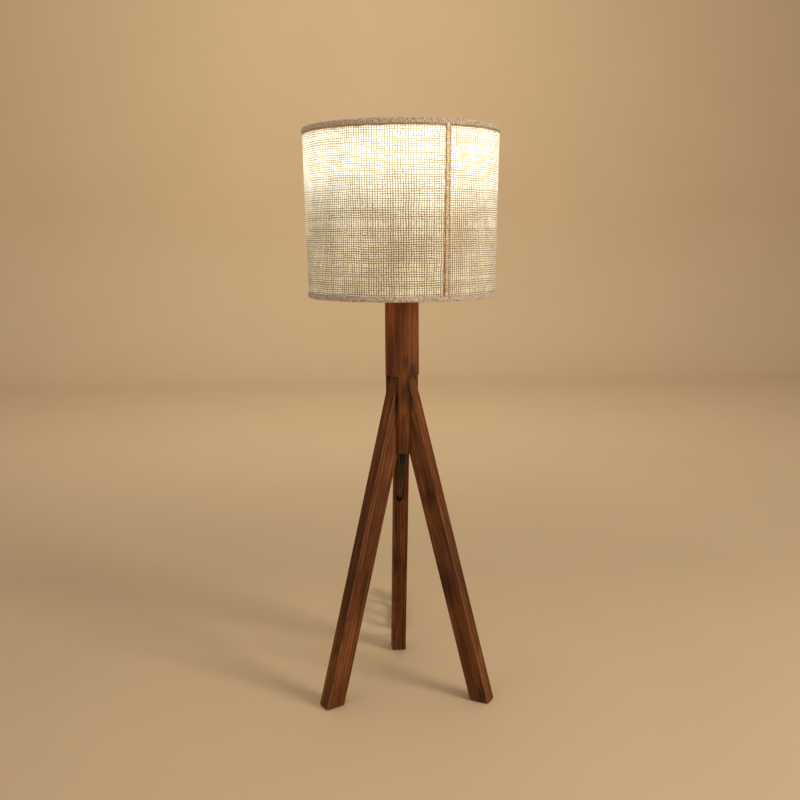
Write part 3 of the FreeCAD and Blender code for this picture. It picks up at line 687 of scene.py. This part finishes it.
def band(name, profile, steps):
    """A closed ring round the shade. profile(angle) gives the (radius, height) points of its section."""
    mesh = bmesh.new()
    rows = []
    for k in range(steps):
        a = math.tau * k / steps
        row = [mesh.verts.new((r * math.cos(a), r * math.sin(a), z)) for r, z in profile(a)]
        rows.append(row)
    for first, second in zip(rows, rows[1:] + rows[:1]):
        count = len(first)
        for j in range(count):
            i = (j + 1) % count
            mesh.faces.new((first[j], second[j], second[i], first[i]))
    bmesh.ops.recalc_face_normals(mesh, faces=mesh.faces)
    return put_mesh(name, mesh)


def cloth_section(a):
    """Both faces of the cloth, joined over its two edges."""
    rows = 56
    low = SHADE_BOTTOM + 0.0006
    high = SHADE_TOP - 0.0006
    heights = [low + (high - low) * k / rows for k in range(rows + 1)]
    outer = [(shade_r(z) - 0.0002 + uneven(a, z, 0.00022), z) for z in heights]
    inner = [(shade_r(z) - CLOTH_T + 0.0001, z) for z in reversed(heights)]
    return outer + inner


HEM_H = 0.0085                # how far the hem reaches up or down the cloth
HEM_IN = 0.0046               # how far inwards the hem reaches round the wire ring


def hem_section(edge, inwards, seed):
    """A folded tape round the edge at that height, as a soft open roll of one thickness."""
    def section(a):
        thick = 0.0005
        height = HEM_H + uneven(a, 0.0, 0.0007, seed)
        puff = uneven(a, 0.0, 0.00022, seed + 2.0)
        r = shade_r(edge)
        outside = [
            (r + 0.0001, edge + inwards * height),
            (r + thick + puff, edge + inwards * 0.62 * height),
            (r + thick + 0.0001 + puff, edge + inwards * 0.0022),
            (r + 0.0001, edge + inwards * 0.0004),
            (r - 0.0012, edge - inwards * 0.0004),
            (r - HEM_IN + 0.0010, edge - inwards * 0.0003),
            (r - HEM_IN - 0.0002, edge + inwards * 0.0010),
            (r - HEM_IN - 0.0004, edge + inwards * 0.60 * height),
        ]
        inside = [
            (r - HEM_IN + 0.0001, edge + inwards * 0.60 * height),
            (r - HEM_IN + 0.0003, edge + inwards * 0.0013),
            (r - HEM_IN + 0.0013, edge + inwards * 0.0002),
            (r - 0.0012, edge + inwards * 0.0001),
            (r - 0.0003, edge + inwards * 0.0008),
            (r + 0.0001, edge + inwards * 0.0022),
            (r, edge + inwards * 0.62 * height),
            (r - 0.0001, edge + inwards * (height - 0.0004)),
        ]
        return outside + inside
    return section


SEAM_ANGLE = math.radians(292.0)
SEAM_W = 0.0082               # width of the overlap strip
SEAM_T = 0.00075              # how far it stands off the cloth at its middle


def make_seam():
    """The cloth's overlap: a narrow double strip with uneven edges, between the hems."""
    rows = 90
    columns = 8
    low = SHADE_BOTTOM + HEM_H - 0.002
    high = SHADE_TOP - HEM_H + 0.002
    draw = random.Random(7)
    edges = [(draw.uniform(-1, 1) * 0.00035, draw.uniform(-1, 1) * 0.00035) for k in range(rows + 1)]
    mesh = bmesh.new()
    layers = []
    for outer in (True, False):
        grid = []
        for k, (left, right) in enumerate(edges):
            z = low + (high - low) * k / rows
            row = []
            for j in range(columns + 1):
                share = j / columns - 0.5
                offset = share * SEAM_W + (left if share < 0 else right) * abs(2 * share)
                a = SEAM_ANGLE + offset / shade_r(z)
                round_off = 1 - (2 * abs(share)) ** 4
                rise = SEAM_T * (0.35 + 0.65 * round_off) if outer else -0.0003
                r = shade_r(z) + rise
                row.append(mesh.verts.new((r * math.cos(a), r * math.sin(a), z)))
            grid.append(row)
        layers.append(grid)
    for grid in layers:
        for first, second in zip(grid, grid[1:]):
            for j in range(columns):
                mesh.faces.new((first[j], first[j + 1], second[j + 1], second[j]))
    top, under = layers
    for k in range(rows):
        for j in (0, columns):
            mesh.faces.new((top[k][j], top[k + 1][j], under[k + 1][j], under[k][j]))
    for j in range(columns):
        for k in (0, rows):
            mesh.faces.new((top[k][j], top[k][j + 1], under[k][j + 1], under[k][j]))
    bmesh.ops.recalc_face_normals(mesh, faces=mesh.faces)
    return put_mesh("shade_seam_strip", mesh)


def dress(piece, material, node):
    """Give a shade piece its material, and let it stand for its CAD node on the shade's body."""
    piece.data.materials.append(material)
    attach(piece, "shade")
    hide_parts(node)


def make_shade():
    cloth = band("jute_cloth", cloth_section, 360)
    dress(cloth, jute(), "shade_cloth")
    hem_tape = tape("jute_tape", (0.13, 0.080, 0.045), (0.86, 0.68, 0.48), 0.06)
    top = band("hem_top", hem_section(SHADE_TOP, -1, 0.4), 420)
    dress(top, hem_tape, "shade_hem_top")
    bottom = band("hem_bottom", hem_section(SHADE_BOTTOM, 1, 3.1), 420)
    dress(bottom, hem_tape, "shade_hem_bottom")
    seam = make_seam()
    strip = tape("seam_tape", (0.13, 0.065, 0.024), (0.55, 0.40, 0.21), 0.62, SEAM_ANGLE)
    dress(seam, strip, "shade_seam")


make_shade()


# ---------------------------------------------------------------- floor and light
def make_floor():
    """A pale floor that curves up into a backdrop behind the lamp."""
    reach = 8.0                   # how far it runs to each side and to the front
    back = 3.3                    # where the curve starts
    bend = 0.9                    # radius of the curve
    top = 4.0
    steps = 24
    outline = [(-reach, 0.0), (back, 0.0)]
    for k in range(1, steps + 1):
        a = math.pi / 2 * k / steps
        outline.append((back + bend * math.sin(a), bend - bend * math.cos(a)))
    outline.append((back + bend, top))
    mesh = bmesh.new()
    rows = [[mesh.verts.new((x, y, z)) for y, z in outline] for x in (-reach, reach)]
    for k in range(len(outline) - 1):
        mesh.faces.new((rows[0][k], rows[1][k], rows[1][k + 1], rows[0][k + 1]))
    floor = put_mesh("floor", mesh)
    s = Shader("pale_floor")
    soft = s.noise(s.place(), 3.0, 3.0, 0.5)
    shade = s.mix(soft, (0.66, 0.475, 0.275), (0.62, 0.445, 0.255))
    floor.data.materials.append(s.surface(Base_Color=shade, Roughness=0.8, Specular_IOR_Level=0.2))


def area_light(name, place, aim, power, size, colour):
    data = bpy.data.lights.new(name, "AREA")
    data.energy = power
    data.size = size
    data.color = colour
    light = put(name, data)
    light.location = place
    light.rotation_euler = (Vector(aim) - Vector(place)).to_track_quat("-Z", "Y").to_euler()
    light.visible_camera = False


def make_lights():
    middle = (0, 0, 0.5)
    area_light("key", (2.3, -1.8, 1.35), middle, 62, 1.0, (1.0, 0.955, 0.90))
    area_light("fill", (-2.2, -2.1, 0.9), middle, 16, 1.8, (1.0, 0.97, 0.93))
    area_light("top", (0.1, 0.1, 3.2), middle, 17, 2.6, (1.0, 0.97, 0.94))
    area_light("wall", (0.0, 1.7, 2.4), (0.0, 4.2, 1.2), 36, 2.0, (1.0, 0.97, 0.92))
    bulb = bpy.data.lights.new("bulb_light", "POINT")
    bulb.energy = 1.7
    bulb.shadow_soft_size = 0.055
    bulb.color = (1.0, 0.80, 0.55)
    light = put("bulb_light", bulb)
    light.location = (0, 0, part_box("bulb_diffuser")[1].z + 0.036)
    light.parent = frame["bodies"]["bulb"]
    world = bpy.data.worlds.new("studio")
    world.use_nodes = True
    background = world.node_tree.nodes["Background"]
    background.inputs["Color"].default_value = (1.0, 0.96, 0.91, 1)
    background.inputs["Strength"].default_value = 0.33
    bpy.context.scene.world = world


make_floor()
make_lights()
bpy.context.scene.view_settings.view_transform = "Standard"

bpy.context.view_layer.update()
